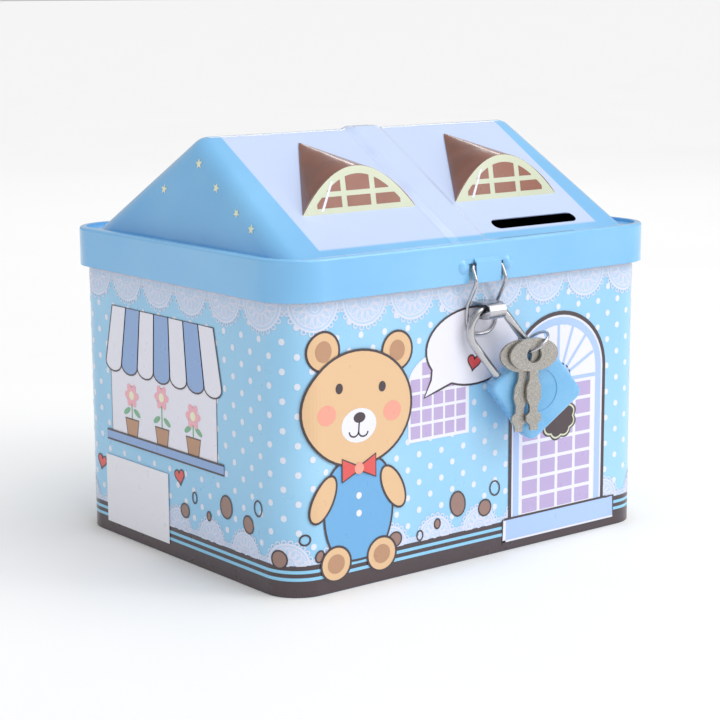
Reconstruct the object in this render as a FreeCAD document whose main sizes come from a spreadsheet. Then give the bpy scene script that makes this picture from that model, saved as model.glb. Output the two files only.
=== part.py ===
"""Tin money box: a rounded sheet-metal body, a hinged house-roof lid, a wire hasp and a small padlock with two keys.

Millimetres. The origin is the middle of the base, on the surface the box stands on. Front is -Y, up is +Z.
"""
import FreeCAD, Part
import math
import os
import Sketcher

os.makedirs("parts", exist_ok=True)
doc = FreeCAD.newDocument("TinMoneyBox")
Vec = FreeCAD.Vector

# every driving size: (word, value, what it is)
SIZES = [
    ("sheetThick", 0.3, "tinplate"),
    ("bodyLength", 125.5, "body along X"),
    ("bodyWidth", 99.5, "body along Y"),
    ("bodyCorner", 9.8, "plan corner radius of the body"),
    ("bodyTop", 84.35, "top of the rolled rim"),
    ("rimDepth", 1.4, "rolled rim at the top of the body"),
    ("footFlange", 2.4, "wall turned in under the base plate"),
    ("lapWidth", 6.0, "side seam at the back"),
    ("baseRim", 3.2, "height of the base plate's upturned edge"),
    ("basePan", 3.2, "the pressed-down middle of the base starts this far in"),
    ("lidLength", 130.0, "skirt along X"),
    ("lidWidth", 104.0, "skirt along Y"),
    ("lidCorner", 11.6, "plan corner radius of the skirt"),
    ("skirtLow", 75.0, "lower edge of the skirt"),
    ("skirtTop", 85.6, "top of the raised border of the lid"),
    ("ledgeTop", 84.8, "ledge between the border and the roof"),
    ("borderWidth", 1.9, "raised border"),
    ("hemHeight", 1.8, "folded hem inside the skirt"),
    ("roofFootLength", 118.0, "roof at the ledge, along X"),
    ("roofFootWidth", 91.6, "roof at the ledge, along Y"),
    ("roofRidgeLength", 110.0, "roof at its ridge, along X"),
    ("roofPeak", 113.0, "height where the two slopes would meet"),
    ("roofRound", 5.0, "rounding of ridge and hips"),
    ("ribWidth", 9.0, "raised band over the middle of the roof"),
    ("ribRise", 0.8, "how far the band stands up"),
    ("coinSlotLength", 30.5, "coin slot"),
    ("coinSlotWidth", 4.0, "coin slot"),
    ("coinSlotX", 27.6, "middle of the coin slot along X"),
    ("coinSlotUp", 5.8, "middle of the coin slot, up the slope from the ledge"),
    ("dormerX", 25.6, "each dormer from the middle"),
    ("dormerHalf", 18.9, "half the width of a dormer's window"),
    ("dormerFront", 31.8, "plane of the dormer windows, in front of the middle"),
    ("dormerFoot", 93.2, "lower corners of a dormer's window"),
    ("dormerTop", 105.3, "top of a dormer's window"),
    ("dormerTipFront", 4.4, "point where a dormer runs out, in front of the middle"),
    ("dormerTipTop", 109.9, "height of that point"),
    ("haspWire", 0.5, "wire radius of the hasp"),
    ("haspHalf", 5.1, "half the spacing of the hasp's legs"),
    ("haspBarFront", 52.25, "pivot bar of the hasp, in front of the middle"),
    ("haspBarTop", 79.3, "pivot bar of the hasp, height"),
    ("haspLow", 61.0, "lowest line of the hasp"),
    ("tongueHalf", 4.3, "half the width of the strip that holds the hasp"),
    ("tongueRise", 1.2, "how far that strip stands out"),
    ("stapleHalf", 2.8, "half the width of the lock staple"),
    ("stapleStrap", 0.4, "thickness of its strap"),
    ("stapleGap", 3.6, "clear height inside the staple"),
    ("stapleMid", 67.6, "middle height of the staple"),
    ("stapleNose", 57.0, "front of the staple"),
    ("hingeLength", 40.0, "back hinge along X"),
    ("hingeSheet", 0.5, "leaf thickness"),
    ("pinRadius", 0.6, "hinge pin"),
    ("pinFit", 0.05, "running clearance on the pin"),
    ("pinBack", 53.3, "hinge pin behind the middle"),
    ("pinTop", 74.3, "hinge pin height"),
    ("rivetRadius", 1.0, "hinge rivets"),
    ("rivetHead", 1.8, "rivet head radius"),
    ("shackleWire", 1.1, "shackle wire radius"),
    ("shackleBow", 6.0, "radius of the bow's middle line"),
    ("shackleClear", 11.0, "from the bow's centre to the top of the lock case"),
    ("shackleShort", 4.6, "short leg inside the case"),
    ("shackleLong", 14.5, "long leg inside the case"),
    ("shackleFit", 0.07, "clearance of the legs in the lock"),
    ("shackleEyeX", 0.3, "top of the bow along X"),
    ("shackleEyeFront", 53.6, "top of the bow, in front of the middle"),
    ("shackleEyeTop", 68.2, "top of the bow, height"),
    ("lockTilt", 38.0, "lock turned in its own plane, degrees"),
    ("lockYaw", 14.0, "lock turned away from the front wall, degrees"),
    ("lockCase", 20.0, "lock case width"),
    ("lockTall", 20.2, "lock case height"),
    ("lockDeep", 4.8, "lock case depth"),
    ("lockCorner", 2.2, "corner radius of the lock case"),
    ("lockSheet", 0.35, "lock case sheet"),
    ("dialRadius", 5.8, "round recess in the front of the lock"),
    ("dialDepth", 0.2, "depth of that recess"),
    ("ringRadius", 4.0, "key ring, middle line"),
    ("ringWire", 0.4, "key ring wire radius"),
    ("ringReach", 2.1, "ring centre in front of the shackle leg"),
    ("ringAcross", 1.2, "ring centre to the right of that leg"),
    ("ringDown", 10.4, "ring below the bow's centre, along the leg"),
    ("keyThick", 0.9, "key sheet"),
    ("keyBowHalf", 7.1, "half the width of a key's bow"),
    ("keyBowTall", 4.4, "half the height of a key's bow"),
    ("keyHole", 2.2, "hole in a key's bow"),
    ("keyDrop", 0.8, "the ring's wire sits this far above the middle of that hole"),
    ("keyLength", 24.6, "key from the top of its bow to its tip"),
    ("frontKeyOut", 4.25, "back of the front key, in front of the lock's middle"),
    ("frontKeyAside", 0.55, "front key hangs this far right of the ring's wire"),
    ("backKeyOut", 3.05, "back of the rear key, in front of the lock's middle"),
    ("backKeyAside", -1.1, "rear key hangs this far left of the wire"),
    ("backKeyLean", 5.0, "rear key leans to the left, degrees"),
    ("dormerLean", 2.0, "top of a dormer's window behind its foot"),
]

sheet = doc.addObject("Spreadsheet::Sheet", "Sizes")
for row, (word, value, note) in enumerate(SIZES, start=1):
    sheet.set(f"A{row}", note)
    sheet.set(f"B{row}", str(value))
    sheet.setAlias(f"B{row}", word)
doc.recompute()


def size(formula):
    """The value of a formula over the sheet's words, or of a plain number."""
    return float(sheet.evalExpression(str(formula)))


class Words(dict):
    """Turns {word} in a formula into a reference to the sheet."""

    def __missing__(self, word):
        return f"Sizes.{word}"


def formula(text):
    return str(text).format_map(Words())


def bind(thing, **formulas):
    """Binds properties of an object to formulas; Base_x means Placement.Base.x."""
    for name, text in formulas.items():
        path = name.replace("Base_", "Placement.Base.")
        thing.setExpression(path, formula(text))


# ---------------------------------------------------------------- simple solids
def cube(name, x0, x1, y0, y1, z0, z1):
    """A box between six planes, each a formula."""
    made = doc.addObject("Part::Box", name)
    bind(made, Length=f"({x1})-({x0})", Width=f"({y1})-({y0})", Height=f"({z1})-({z0})")
    bind(made, Base_x=x0, Base_y=y0, Base_z=z0)
    return made


TURNS = {
    "X": FreeCAD.Rotation(Vec(0, 1, 0), 90),
    "Y": FreeCAD.Rotation(Vec(1, 0, 0), -90),
    "Z": FreeCAD.Rotation(),
}


def rod(name, radius, length, x, y, z, along="Z"):
    """A cylinder that starts at x, y, z and runs along one axis."""
    made = doc.addObject("Part::Cylinder", name)
    made.Placement = FreeCAD.Placement(Vec(), TURNS[along])
    bind(made, Radius=radius, Height=length, Base_x=x, Base_y=y, Base_z=z)
    return made


def joined(name, *pieces):
    made = doc.addObject("Part::MultiFuse", name)
    made.Shapes = list(pieces)
    return made


def cut_away(name, base, *tools):
    made = doc.addObject("Part::Cut", name)
    made.Base = base
    made.Tool = tools[0] if len(tools) == 1 else joined(name + "Tools", *tools)
    return made


def rounded(name, base, radius, choose):
    """Fillets the edges that choose picks."""
    doc.recompute()
    made = doc.addObject("Part::Fillet", name)
    made.Base = base
    r = size(formula(radius))
    made.Edges = [(n, r, r) for n, edge in enumerate(base.Shape.Edges, start=1) if choose(edge)]
    return made


def runs_along(edge, direction):
    """Is this a straight edge along a direction?"""
    if len(edge.Vertexes) != 2 or edge.Curve.TypeId != "Part::GeomLine":
        return False
    start, end = (v.Point for v in edge.Vertexes)
    return abs((end - start).normalize().dot(direction)) > 0.999


def tray_block(name, inset, z0, z1, length="{bodyLength}", width="{bodyWidth}", corner="{bodyCorner}"):
    """A block with rounded plan corners, smaller than the outline by inset all round."""
    half_x, half_y = f"({length})/2-({inset})", f"({width})/2-({inset})"
    block = cube(name + "Block", f"-({half_x})", half_x, f"-({half_y})", half_y, z0, z1)
    return rounded(name, block, f"({corner})-({inset})", lambda e: runs_along(e, Vec(0, 0, 1)))


# ---------------------------------------------------------------- drawn solids
def outline(body, name, role, points):
    """A closed sketch through points, each held by two dimensions that are formulas."""
    sketch = body.newObject("Sketcher::SketchObject", name)
    flat = next(f for f in body.Origin.OriginFeatures if f.Role == role)
    sketch.AttachmentSupport = [(flat, "")]
    sketch.MapMode = "FlatFace"
    texts = [(formula(a), formula(b)) for a, b in points]
    spots = [Vec(size(a), size(b), 0) for a, b in texts]
    for n, spot in enumerate(spots):
        sketch.addGeometry(Part.LineSegment(spot, spots[(n + 1) % len(spots)]), False)
    for n in range(len(spots)):
        sketch.addConstraint(Sketcher.Constraint("Coincident", n, 2, (n + 1) % len(spots), 1))
    for n, (pair, spot) in enumerate(zip(texts, spots)):
        for kind, text, value in (("DistanceX", pair[0], spot.x), ("DistanceY", pair[1], spot.y)):
            index = sketch.addConstraint(Sketcher.Constraint(kind, -1, 1, n, 1, value))
            sketch.setExpression(f"Constraints[{index}]", text)
    return sketch


def drawn_plate(name, role, points, thickness):
    """A PartDesign body: an outline padded both ways from its plane by half a thickness."""
    body = doc.addObject("PartDesign::Body", name)
    sketch = outline(body, name + "Outline", role, points)
    pad = body.newObject("PartDesign::Pad", name + "Pad")
    pad.Profile = sketch
    pad.Midplane = True
    pad.setExpression("Length", formula(thickness))
    return body


def shaped(name, shape):
    """A feature whose shape is made in code from the sheet's sizes."""
    made = doc.addObject("Part::Feature", name)
    made.Shape = shape
    return made


def bent_wire(points, bends, radius):
    """A round wire along straight runs joined by tangent arcs, one bend radius per inner point."""
    edges, start = [], points[0]
    for before, corner, after, bend in zip(points, points[1:], points[2:], bends):
        one = (before - corner).normalize()
        two = (after - corner).normalize()
        half = one.getAngle(two) / 2
        back = bend / math.tan(half)
        middle = (one + two).normalize()
        first, last = corner + one * back, corner + two * back
        top = corner + middle * (bend / math.sin(half) - bend)
        edges.append(Part.LineSegment(start, first).toShape())
        edges.append(Part.Arc(first, top, last).toShape())
        start = last
    edges.append(Part.LineSegment(start, points[-1]).toShape())
    path = Part.Wire(edges)
    ring = Part.Wire(Part.Circle(points[0], (points[1] - points[0]).normalize(), radius).toShape())
    return path.makePipeShell([ring], True, True)


# ---------------------------------------------------------------- body
def make_body_wall():
    """One sheet bent round and lapped at the back, rolled in at the top and turned in at the foot."""
    skin = cut_away(
        "wallSkin",
        tray_block("wallOutside", "0", "0", "{bodyTop}"),
        tray_block("wallInside", "{sheetThick}", "{sheetThick}", "{bodyTop}+1"),
        tray_block("wallFoot", "{footFlange}", "-1", "{sheetThick}+1"),
    )
    rim = cut_away(
        "wallRim",
        tray_block("rimOutside", "{sheetThick}/2", "{bodyTop}-{rimDepth}", "{bodyTop}"),
        tray_block("rimInside", "{rimDepth}", "{bodyTop}-{rimDepth}-1", "{bodyTop}+1"),
    )
    back = "{bodyWidth}/2"
    lap = cube("wallLap", 30, "30+{lapWidth}", f"{back}-2*{{sheetThick}}", f"{back}-{{sheetThick}}/2",
               "{baseRim}+0.8", "{bodyTop}-{rimDepth}")
    front = "-{bodyWidth}/2"
    slits = [
        cube(f"stapleSlit{n}", "-{stapleHalf}-0.1", "{stapleHalf}+0.1", f"{front}-1", f"{front}+1",
             f"{z}-0.05", f"{z}+{{stapleStrap}}+0.05")
        for n, z in enumerate(("{stapleMid}+{stapleGap}/2", "{stapleMid}-{stapleGap}/2-{stapleStrap}"))
    ]
    holes = [rod(f"wallRivetHole{n}", "{rivetRadius}+0.02", 3, x, f"{back}-2", 67.5, "Y")
             for n, x in enumerate((-14, 0, 14))]
    return cut_away("body_wall", joined("wallSolid", skin, rim, lap), *slits, *holes)


def make_base_plate():
    """A shallow tray laid on the turned-in foot, its middle pressed down level with the foot."""
    low, high = "{sheetThick}+0.02", "2*{sheetThick}+0.02"
    outside = joined(
        "baseOutside",
        tray_block("baseEdgeOut", "{sheetThick}+0.05", low, "{baseRim}"),
        tray_block("basePanOut", "{basePan}", "0", high),
    )
    return cut_away(
        "base_plate",
        outside,
        tray_block("baseEdgeIn", "2*{sheetThick}+0.05", high, "{baseRim}+1"),
        tray_block("basePanIn", "{basePan}+{sheetThick}", "{sheetThick}", f"{high}+1"),
    )


def make_lock_staple():
    """A strap bent round into an eye, with its ends through the wall and turned over inside."""
    wall = "-{bodyWidth}/2"
    outer, inner = "({stapleGap}/2+{stapleStrap})", "({stapleGap}/2)"
    nose = f"-{{stapleNose}}+{outer}"
    tabs = f"{wall}+{{sheetThick}}"

    def loop(name, reach, back, half):
        """A flat bar with a round front."""
        bar = cube(name + "Bar", f"-{half}", half, nose, back,
                   f"{{stapleMid}}-{reach}", f"{{stapleMid}}+{reach}")
        front = rod(name + "Nose", reach, f"2*({half})", f"-{half}", nose, "{stapleMid}", "X")
        return joined(name, bar, front)

    eye = cut_away("stapleEye", loop("stapleOut", outer, f"{tabs}+0.5", "{stapleHalf}"),
                   loop("stapleIn", inner, f"{tabs}+2", "({stapleHalf}+1)"))
    ends = [
        cube(f"stapleTab{n}", "-{stapleHalf}", "{stapleHalf}", f"{tabs}+0.02", f"{tabs}+0.5", low, high)
        for n, (low, high) in enumerate((
            (f"{{stapleMid}}+{inner}", f"{{stapleMid}}+{outer}+2.4"),
            (f"{{stapleMid}}-{outer}-2.4", f"{{stapleMid}}-{inner}"),
        ))
    ]
    return joined("lock_staple", eye, *ends)


# ---------------------------------------------------------------- lid
def slope_angle():
    rise = size("Sizes.roofPeak-Sizes.ledgeTop")
    return math.atan2(rise, size("Sizes.roofFootWidth") / 2)


def prism(points, along):
    """A flat outline drawn out along a vector."""
    return Part.Face(Part.makePolygon(points + [points[0]])).extrude(along)


def roof_block(inset, start):
    """The hipped roof as a solid, all its faces moved inwards by inset, from height start upwards."""
    angle = slope_angle()
    peak = size("Sizes.roofPeak") - inset / math.cos(angle)
    ledge = size("Sizes.ledgeTop")
    foot_x, ridge_x = size("Sizes.roofFootLength") / 2, size("Sizes.roofRidgeLength") / 2
    lean = (foot_x - ridge_x) / (size("Sizes.roofPeak") - ledge)
    shift = inset * math.sqrt(1 + lean * lean)

    def gable(z):
        return foot_x - (z - ledge) * lean - shift

    depth = (peak - start) / math.tan(angle)
    low, high = gable(start), gable(peak)
    slopes = prism([Vec(-80, -depth, start), Vec(-80, depth, start), Vec(-80, 0, peak)], Vec(160, 0, 0))
    gables = prism([Vec(-low, -80, start), Vec(low, -80, start), Vec(high, -80, peak), Vec(-high, -80, peak)],
                   Vec(0, 160, 0))
    solid = slopes.common(gables)
    upper = [e for e in solid.Edges if max(v.Z for v in e.Vertexes) > start + 1]
    return solid.makeFillet(size("Sizes.roofRound") - inset, upper)


def dormer_block(side, inset):
    """A dormer: an arched window near the front that narrows to a point near the ridge."""
    middle = side * size("Sizes.dormerX")
    half = size("Sizes.dormerHalf") - 1.4 * inset
    front = -size("Sizes.dormerFront") + inset
    foot, top = size("Sizes.dormerFoot"), size("Sizes.dormerTop") - inset
    tip = Vec(middle, -size("Sizes.dormerTipFront") - 2 * inset, size("Sizes.dormerTipTop") - 1.2 * inset)
    share = 0.58
    lean = size("Sizes.dormerLean")
    arch = [Vec(middle + half * s, front + lean * (1 - s * s), foot + (top - foot) * (1 - s * s))
            for s in (-1, -share, 0, share, 1)]
    under_y = front - 3 * lean / (top - foot)
    curve = Part.BSplineCurve()
    curve.interpolate(arch)
    low = foot - 3
    under = [arch[-1], Vec(middle + half + 0.4, under_y, low), Vec(middle - half - 0.4, under_y, low), arch[0]]
    edges = [curve.toShape()] + [Part.LineSegment(a, b).toShape() for a, b in zip(under, under[1:])]
    return Part.makeLoft([Part.Wire(edges), Part.Vertex(tip)], True, True)


def rib_block(rise, narrower, start):
    """The band over the roof: a thin slice of a slightly larger roof."""
    angle = slope_angle()
    peak = size("Sizes.roofPeak") + rise / math.cos(angle) - 1.2
    low = size("Sizes.roofPeak") + rise / math.cos(angle)
    depth = (low - start) / math.tan(angle)
    half = size("Sizes.ribWidth") / 2 - narrower
    flat = 1.2 / math.tan(angle)
    points = [Vec(-half, y, z) for y, z in ((-depth, start), (depth, start), (flat, peak), (-flat, peak))]
    solid = prism(points, Vec(2 * half, 0, 0))
    sides = [e for e in solid.Edges if abs(e.tangentAt(e.FirstParameter).x) < 0.01
             and max(v.Z for v in e.Vertexes) > start + 1]
    return solid.makeChamfer(0.7, sides) if narrower == 0 else solid


def plan_block(inset, z0, z1):
    """The skirt's rounded plan as a solid."""
    long, wide = size("Sizes.lidLength") - 2 * inset, size("Sizes.lidWidth") - 2 * inset
    solid = Part.makeBox(long, wide, z1 - z0, Vec(-long / 2, -wide / 2, z0))
    uprights = [e for e in solid.Edges if runs_along(e, Vec(0, 0, 1))]
    return solid.makeFillet(size("Sizes.lidCorner") - inset, uprights)


def tongue_block(inset, top, low):
    """The pressed-out strip on the front of the skirt that holds the hasp's bar."""
    face_y = -size("Sizes.lidWidth") / 2
    out = face_y - size("Sizes.tongueRise") + inset
    half = size("Sizes.tongueHalf")
    points = [Vec(-half, y, z) for y, z in
              ((face_y + 1, top), (face_y + inset, top), (out, top - 1.1), (out, low), (face_y + 1, low))]
    return prism(points, Vec(2 * half, 0, 0))


def make_lid_shell():
    """One pressing: skirt with a folded hem, raised border, ledge, hipped roof, dormers, band and hasp strip."""
    thick = size("Sizes.sheetThick")
    low, ledge, border = size("Sizes.skirtLow"), size("Sizes.ledgeTop"), size("Sizes.skirtTop")
    skirt = plan_block(0, low, border)
    skirt = skirt.makeFillet(0.75, [e for e in skirt.Edges if min(v.Z for v in e.Vertexes) > border - 0.01])
    skirt = skirt.cut(plan_block(size("Sizes.borderWidth"), ledge, border + 1))
    outside = skirt.fuse([roof_block(0, ledge - 0.5), rib_block(size("Sizes.ribRise"), 0, ledge - 0.4),
                          dormer_block(-1, 0), dormer_block(1, 0), tongue_block(0, 81.4, low)])
    for side in (-1, 1):
        boss = Part.makeSphere(3.0, Vec(side * 7.7, -size("Sizes.lidWidth") / 2 + 2.3, size("Sizes.haspBarTop")))
        outside = outside.fuse(boss)
    inside = plan_block(thick, low - 1, ledge - thick)
    inside = inside.fuse([roof_block(thick, ledge - thick - 0.5),
                          rib_block(size("Sizes.ribRise") - thick, thick, ledge - thick - 0.4),
                          dormer_block(-1, thick), dormer_block(1, thick), tongue_block(thick, 81.1, low - 1)])
    outer, inner = shaped("lidOutside", outside), shaped("lidInside", inside)
    hem_top = low + size("Sizes.hemHeight")
    hem_gap = Part.makeBox(12, 4, 4, Vec(-6, -size("Sizes.lidWidth") / 2 - 1, low - 1))
    hem = shaped("lidHem", plan_block(thick / 2, low, hem_top).cut(
        [plan_block(2 * thick + 0.05, low - 1, hem_top + 1), hem_gap]))
    angle = math.degrees(slope_angle())
    slot = doc.addObject("Part::Box", "coinSlotMiddle")
    ends = [doc.addObject("Part::Cylinder", f"coinSlotEnd{n}") for n in (0, 1)]
    run = "({coinSlotLength}-{coinSlotWidth})"
    bind(slot, Length=run, Width="{coinSlotWidth}", Height=8)
    for end in ends:
        bind(end, Radius="{coinSlotWidth}/2", Height=8)
    up = size("Sizes.coinSlotUp")
    centre = Vec(size("Sizes.coinSlotX"), -size("Sizes.roofFootWidth") / 2 + up * math.cos(slope_angle()),
                 ledge + up * math.sin(slope_angle()))
    tilt = FreeCAD.Rotation(Vec(1, 0, 0), angle)
    half_run = size(formula(run)) / 2
    for thing, shift in ((slot, Vec(-half_run, -size("Sizes.coinSlotWidth") / 2, -4)),
                         (ends[0], Vec(-half_run, 0, -4)), (ends[1], Vec(half_run, 0, -4))):
        thing.Placement = FreeCAD.Placement(centre + tilt.multVec(shift), tilt)
    skirt_y = "-{lidWidth}/2"
    slits = [cube(f"haspSlit{n}", x0, x1, f"{skirt_y}-2", f"{skirt_y}+1.2", "{skirtLow}-1", "{haspBarTop}+0.8")
             for n, (x0, x1) in enumerate((("-{haspHalf}-0.8", "-{tongueHalf}+0.02"),
                                           ("{tongueHalf}-0.02", "{haspHalf}+0.8")))]
    holes = [rod(f"lidRivetHole{n}", "{rivetRadius}+0.02", 3, x, "{lidWidth}/2-1.5", 80, "Y")
             for n, x in enumerate((-14, 0, 14))]
    shell = cut_away("lidPressing", outer, inner)
    return cut_away("lid_shell", joined("lidSheet", shell, hem), slot, *ends, *slits, *holes)


def make_hasp_wire():
    """A wire loop: its bar turns behind the strip, its legs come out through the slits and hang over the staple."""
    half, bar_y, bar_z = (size(f"Sizes.{w}") for w in ("haspHalf", "haspBarFront", "haspBarTop"))
    low, rest_y = size("Sizes.haspLow"), size("Sizes.bodyWidth") / 2 + 0.6
    right = [Vec(0.35, -bar_y, bar_z), Vec(half, -bar_y, bar_z), Vec(half + 0.1, -54.2, 75.4),
             Vec(half, -rest_y, 68.6), Vec(half, -rest_y, low)]
    left = [Vec(-p.x, p.y, p.z) for p in reversed(right)]
    return shaped("hasp_wire", bent_wire(right + left, [0.9, 1.6, 4, 4.2, 4.2, 4, 1.6, 0.9], size("Sizes.haspWire")))


# ---------------------------------------------------------------- back hinge
def knuckles(name, places):
    """Rolled knuckles along the pin, each a fifth of the hinge."""
    barrel = "({pinRadius}+{pinFit}+{hingeSheet})"
    step = "({hingeLength}/5)"
    made = [rod(f"{name}Knuckle{n}", barrel, f"{step}-0.15", f"-{{hingeLength}}/2+{n}*{step}+0.075",
                "{pinBack}", "{pinTop}", "X") for n in places]
    return made


def pin_bore(name):
    return rod(name, "{pinRadius}+{pinFit}", "{hingeLength}+2", "-{hingeLength}/2-1", "{pinBack}", "{pinTop}", "X")


def strip(name, n, y0, y1, z0, z1):
    """A piece of leaf under one knuckle."""
    step = "({hingeLength}/5)"
    return cube(f"{name}{n}", f"-{{hingeLength}}/2+{n}*{step}+0.075", f"-{{hingeLength}}/2+({n}+1)*{step}-0.075",
                y0, y1, z0, z1)


def make_hinge_body_leaf():
    wall, half = "{bodyWidth}/2+0.02", "{hingeLength}/2"
    plate = cube("bodyLeafPlate", f"-{half}", half, wall, f"{wall}+{{hingeSheet}}", 63.5, 72.2)
    joggle = cube("bodyLeafJoggle", f"-{half}", half, wall, "{pinBack}+{hingeSheet}/2", 71.7, 72.2)
    necks = [strip("bodyLeafNeck", n, "{pinBack}-{hingeSheet}/2", "{pinBack}+{hingeSheet}/2", 72, 73.4)
             for n in (0, 2, 4)]
    holes = [rod(f"bodyLeafHole{n}", "{rivetRadius}+0.02", 3, x, "{bodyWidth}/2-1", 67.5, "Y")
             for n, x in enumerate((-14, 0, 14))]
    solid = joined("bodyLeafSolid", plate, joggle, *necks, *knuckles("bodyLeaf", (0, 2, 4)))
    return cut_away("hinge_body_leaf", solid, pin_bore("bodyLeafBore"), *holes)


def make_hinge_lid_leaf():
    skirt, half = "{lidWidth}/2+0.02", "{hingeLength}/2"
    plate = cube("lidLeafPlate", f"-{half}", half, skirt, f"{skirt}+{{hingeSheet}}", 75.75, 83.4)
    necks = [strip("lidLeafNeck", n, skirt, f"{skirt}+{{hingeSheet}}", "{pinTop}", 76) for n in (1, 3)]
    holes = [rod(f"lidLeafHole{n}", "{rivetRadius}+0.02", 3, x, "{lidWidth}/2-1", 80, "Y")
             for n, x in enumerate((-14, 0, 14))]
    solid = joined("lidLeafSolid", plate, *necks, *knuckles("lidLeaf", (1, 3)))
    return cut_away("hinge_lid_leaf", solid, pin_bore("lidLeafBore"), *holes)


def rivets(name, inner, outer, z):
    """Three rivets through two sheets between the planes inner and outer."""
    made = []
    for n, x in enumerate((-14, 0, 14)):
        shank = rod(f"{name}Shank{n}", "{rivetRadius}", f"({outer})-({inner})+0.8", x, f"({inner})-0.4", z, "Y")
        heads = [rod(f"{name}Head{n}{m}", "{rivetHead}", 0.55, x, y, z, "Y")
                 for m, y in enumerate((f"({inner})-0.55-0.02", f"({outer})+0.02"))]
        made.append(joined(f"{name}One{n}", shank, *heads))
    group = doc.addObject("Part::Compound", name)
    group.Links = made
    return group


def make_hinge_pin():
    return rod("hinge_pin", "{pinRadius}", "{hingeLength}+1", "-{hingeLength}/2-0.5", "{pinBack}", "{pinTop}", "X")


# ---------------------------------------------------------------- padlock, drawn upright about the bow's centre
def lock_place():
    """Where the bow's centre is and how the lock hangs."""
    turn = FreeCAD.Rotation(Vec(0, 0, 1), -size("Sizes.lockYaw")) * FreeCAD.Rotation(Vec(0, 1, 0), -size("Sizes.lockTilt"))
    top = Vec(size("Sizes.shackleEyeX"), -size("Sizes.shackleEyeFront"), size("Sizes.shackleEyeTop"))
    return FreeCAD.Placement(top - Vec(0, 0, size("Sizes.shackleBow")), turn)


def on_lock(thing):
    """Moves a finished lock piece from its own frame to where the lock hangs."""
    thing.Placement = lock_place().multiply(thing.Placement)
    return thing


def make_lock_shackle():
    bow = doc.addObject("Part::Torus", "shackleBowPiece")
    bind(bow, Radius1="{shackleBow}", Radius2="{shackleWire}")
    bow.Angle3 = 180
    bow.Placement = FreeCAD.Placement(Vec(), FreeCAD.Rotation(Vec(1, 0, 0), 90))
    legs = []
    for word, x, deep in (("Short", "-{shackleBow}", "{shackleShort}"), ("Long", "{shackleBow}", "{shackleLong}")):
        run = f"({{shackleClear}}+{deep})"
        legs.append(rod(f"shackle{word}Leg", "{shackleWire}", run, x, 0, f"-{run}"))
    notch = drawn_plate("shackleNotch", "XZ_Plane", [
        ("-{shackleBow}+{shackleWire}-0.5", "-{shackleClear}-2.4"),
        ("-{shackleBow}+{shackleWire}+0.5", "-{shackleClear}-4.4"),
        ("-{shackleBow}+{shackleWire}+0.5", "-{shackleClear}-0.4"),
    ], 4)
    return on_lock(cut_away("lock_shackle", joined("shackleSolid", bow, *legs), notch))


def lock_block(name, inset, y0, y1):
    """The case outline as a block between two planes of the lock's depth."""
    half, top = f"{{lockCase}}/2-({inset})", "-{shackleClear}"
    block = cube(name + "Block", f"-({half})", half, y0, y1, f"{top}-{{lockTall}}+({inset})", f"{top}-({inset})")
    return rounded(name, block, f"{{lockCorner}}-({inset})", lambda e: runs_along(e, Vec(0, 1, 0)))


def leg_bores(name, short_deep, long_deep):
    return [rod(f"{name}{n}", "{shackleWire}+{shackleFit}", f"{deep}+1", x, 0, f"-{{shackleClear}}-{deep}")
            for n, (x, deep) in enumerate((("-{shackleBow}", short_deep), ("{shackleBow}", long_deep)))]


def make_lock_case_half(name, y_face, y_seam, front):
    """Half of the pressed case: a dish whose rim meets the other half at the middle."""
    low, high = (y_face, y_seam) if front else (y_seam, y_face)
    solid = lock_block(name + "Out", "0", low, high)
    doc.recompute()
    face_at = size(formula(y_face))
    bevel = rounded(name + "Bevel", solid, 0.9, lambda e: all(abs(v.Y - face_at) < 1e-6 for v in e.Vertexes))
    hollow = (f"{low}+{{lockSheet}}", high + "+1") if front else (f"{low}-1", f"{high}-{{lockSheet}}")
    tools = [lock_block(name + "In", "{lockSheet}", *hollow), *leg_bores(name + "Leg", "2", "2")]
    tools.append(cube(name + "Keyway", "-2.8", "2.8", "-0.6", "0.6", "-{shackleClear}-{lockTall}-1",
                      "-{shackleClear}-{lockTall}+1"))
    if front:
        tools.append(rod(name + "Dial", "{dialRadius}", "{dialDepth}+1", 0, f"{low}-1",
                         "-{shackleClear}-{lockTall}/2", "Y"))
    return on_lock(cut_away(name, bevel, *tools))


def make_lock_core():
    """The block inside the case: two bores for the shackle, a pocket for the latch and a keyway."""
    gap = "({lockSheet}+0.05)"
    top, low = f"-{{shackleClear}}-{gap}", f"-{{shackleClear}}-{{lockTall}}+{gap}"
    half_y = f"{{lockDeep}}/2-{{lockSheet}}-{{dialDepth}}-0.05"
    sharp = cube("coreSharp", "-9.2", "9.2", f"-({half_y})", half_y, f"{low}+0.4", top)
    block = rounded("coreBlock", sharp, "{lockCorner}-0.5", lambda e: runs_along(e, Vec(0, 1, 0)))
    pocket = cube("corePocket", "-{shackleBow}", "2.4", "-0.9", "0.9", "-{shackleClear}-4.0", "-{shackleClear}-0.8")
    keyway = cube("coreKeyway", "-2.8", "2.8", "-0.6", "0.6", f"{low}-1", "-{shackleClear}-6")
    window = cube("coreWindow", "-2.8", "2.8", "-0.6", "0.6", "-{shackleClear}-7", "-{shackleClear}-3")
    shelf = cube("coreShelf", "-3.7", "3.7", "-1.35", "1.35", "-{shackleClear}-15.5", "-{shackleClear}-15")
    return on_lock(cut_away("lock_core", block, *leg_bores("coreLeg", "5.2", "16.8"), pocket, keyway, window, shelf))


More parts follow.
